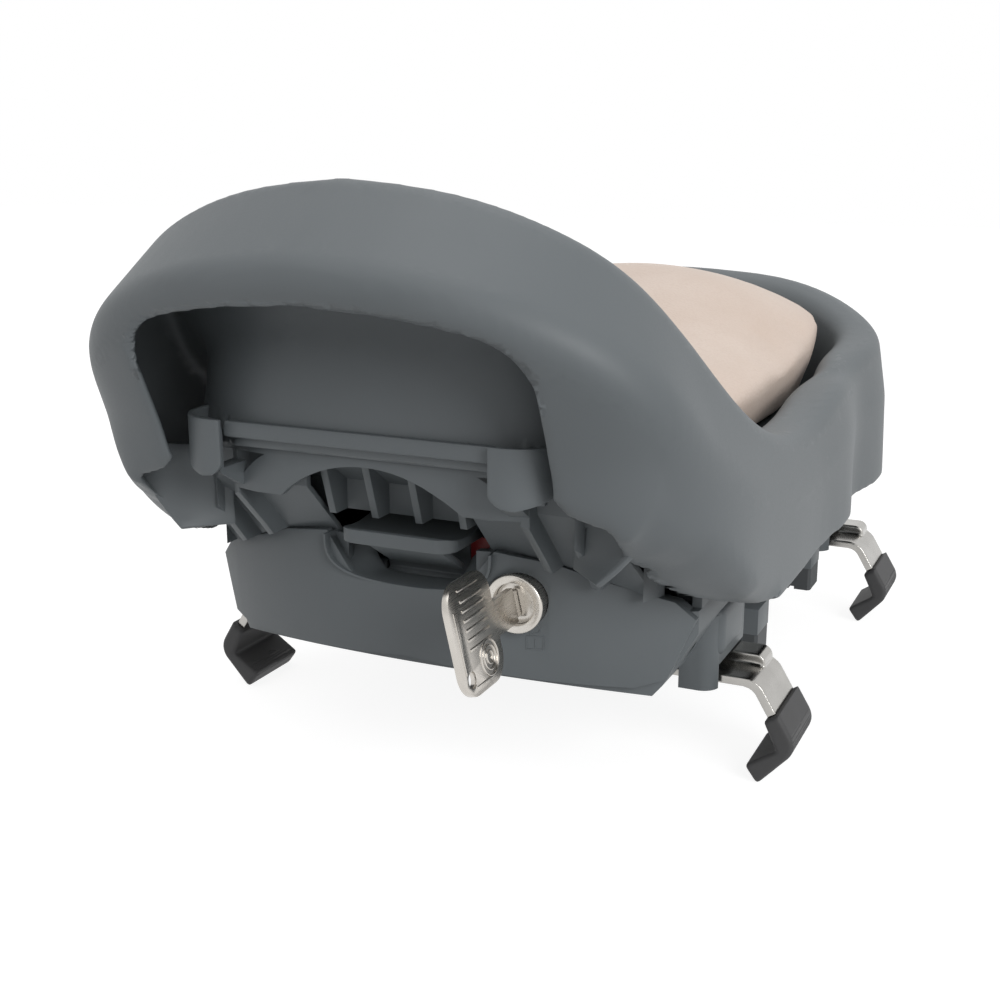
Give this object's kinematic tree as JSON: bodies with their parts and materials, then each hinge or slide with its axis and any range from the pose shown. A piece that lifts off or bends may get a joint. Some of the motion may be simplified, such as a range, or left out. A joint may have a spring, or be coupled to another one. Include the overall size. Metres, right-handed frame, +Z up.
{
  "type": "bicycle child seat",
  "caption": "Low junior seat for a bicycle rack: slate-grey hoop-backed shell with pale cushion, ribbed base, red-flagged release lever, key lock and rubber-tipped sliding claws.",
  "frame": {"origin": "on the floor under the middle of the seat, level with the claws' soles", "axes": "+X to the rider's right, +Y forward along the bicycle, +Z up"},
  "size_m": [0.2278, 0.3506, 0.1994],
  "materials": {
    "shell_plastic": "fine satin, slate grey",
    "cushion_skin": "soft grained skin, pale beige",
    "claw_rubber": "matt, charcoal",
    "pad_rubber": "matt, black",
    "arm_metal": "satin, bright",
    "lock_metal": "satin nickel",
    "drive_metal": "plain",
    "gear_plastic": "plain, off-white",
    "flag_red": "dark red"
  },
  "bodies": {
    "seat": {"seat_shell": "shell_plastic", "ribbed_base": "shell_plastic", "lower_casing": "shell_plastic", "bottom_cover": "shell_plastic", "rear_fascia": "shell_plastic", "seat_cushion": "cushion_skin", "rack_pad_set": "pad_rubber", "shell_screws": "drive_metal", "casing_screws": "drive_metal", "cover_screws": "drive_metal", "fascia_screws": "drive_metal", "lever_pin": "drive_metal", "lever_spring": "drive_metal", "slider_spring": "drive_metal", "lock_housing": "lock_metal", "lock_clip": "drive_metal"},
    "right_carriage": {"right_rear_arm": "arm_metal", "right_front_arm": "arm_metal", "right_rear_claw_pad": "claw_rubber", "right_front_claw_pad": "claw_rubber", "right_slide_rail": "drive_metal", "right_rack": "gear_plastic", "right_rivets": "drive_metal"},
    "left_carriage": {"left_rear_arm": "arm_metal", "left_front_arm": "arm_metal", "left_rear_claw_pad": "claw_rubber", "left_front_claw_pad": "claw_rubber", "left_slide_rail": "drive_metal", "left_rack": "gear_plastic", "left_rivets": "drive_metal"},
    "pinion": {"drive_pinion": "gear_plastic", "ratchet_wheel": "drive_metal", "pinion_shaft": "drive_metal"},
    "slider": {"lock_slider": "gear_plastic"},
    "lever": {"release_lever": "shell_plastic", "state_flag": "flag_red"},
    "plug": {"lock_plug": "lock_metal", "lock_cam": "lock_metal", "cam_nut": "drive_metal"},
    "key": {"key": "lock_metal", "key_blade": "lock_metal"}
  },
  "joints": [
    {"name": "left_claws_close", "type": "slide", "parent": "seat", "child": "left_carriage", "axis": [1, 0, 0], "range_m": [0, 0.04608]},
    {"name": "right_claws_close", "type": "slide", "parent": "seat", "child": "right_carriage", "axis": [-1, 0, 0], "range_m": [0, 0.04608]},
    {"name": "pinion_turn", "type": "hinge", "parent": "seat", "child": "pinion", "pos_m": [0, 0.02, 0.0345], "axis": [0, 0, 1], "range_deg": [0, 220.1]},
    {"name": "lever_press", "type": "hinge", "parent": "seat", "child": "lever", "pos_m": [0, -0.092, 0.069], "axis": [1, 0, 0], "range_deg": [0, 12]},
    {"name": "slider_push", "type": "slide", "parent": "seat", "child": "slider", "axis": [0, 1, 0], "range_m": [0, 0.00401], "deforming": ["slider_spring"]},
    {"name": "lock_turn", "type": "hinge", "parent": "seat", "child": "plug", "pos_m": [0.0375, -0.1, 0.0715], "axis": [0, 1, 0], "range_deg": [0, 90]},
    {"name": "key_pull", "type": "slide", "parent": "plug", "child": "key", "axis": [0, -1, 0], "range_m": [0, 0.03]}
  ],
  "couplings": [
    {"joint": "right_claws_close", "follows": "left_claws_close", "ratio": 1},
    {"joint": "pinion_turn", "follows": "left_claws_close", "rad_per_m": 83.333},
    {"joint": "slider_push", "follows": "lever_press", "m_per_rad": 0.019099}
  ]
}
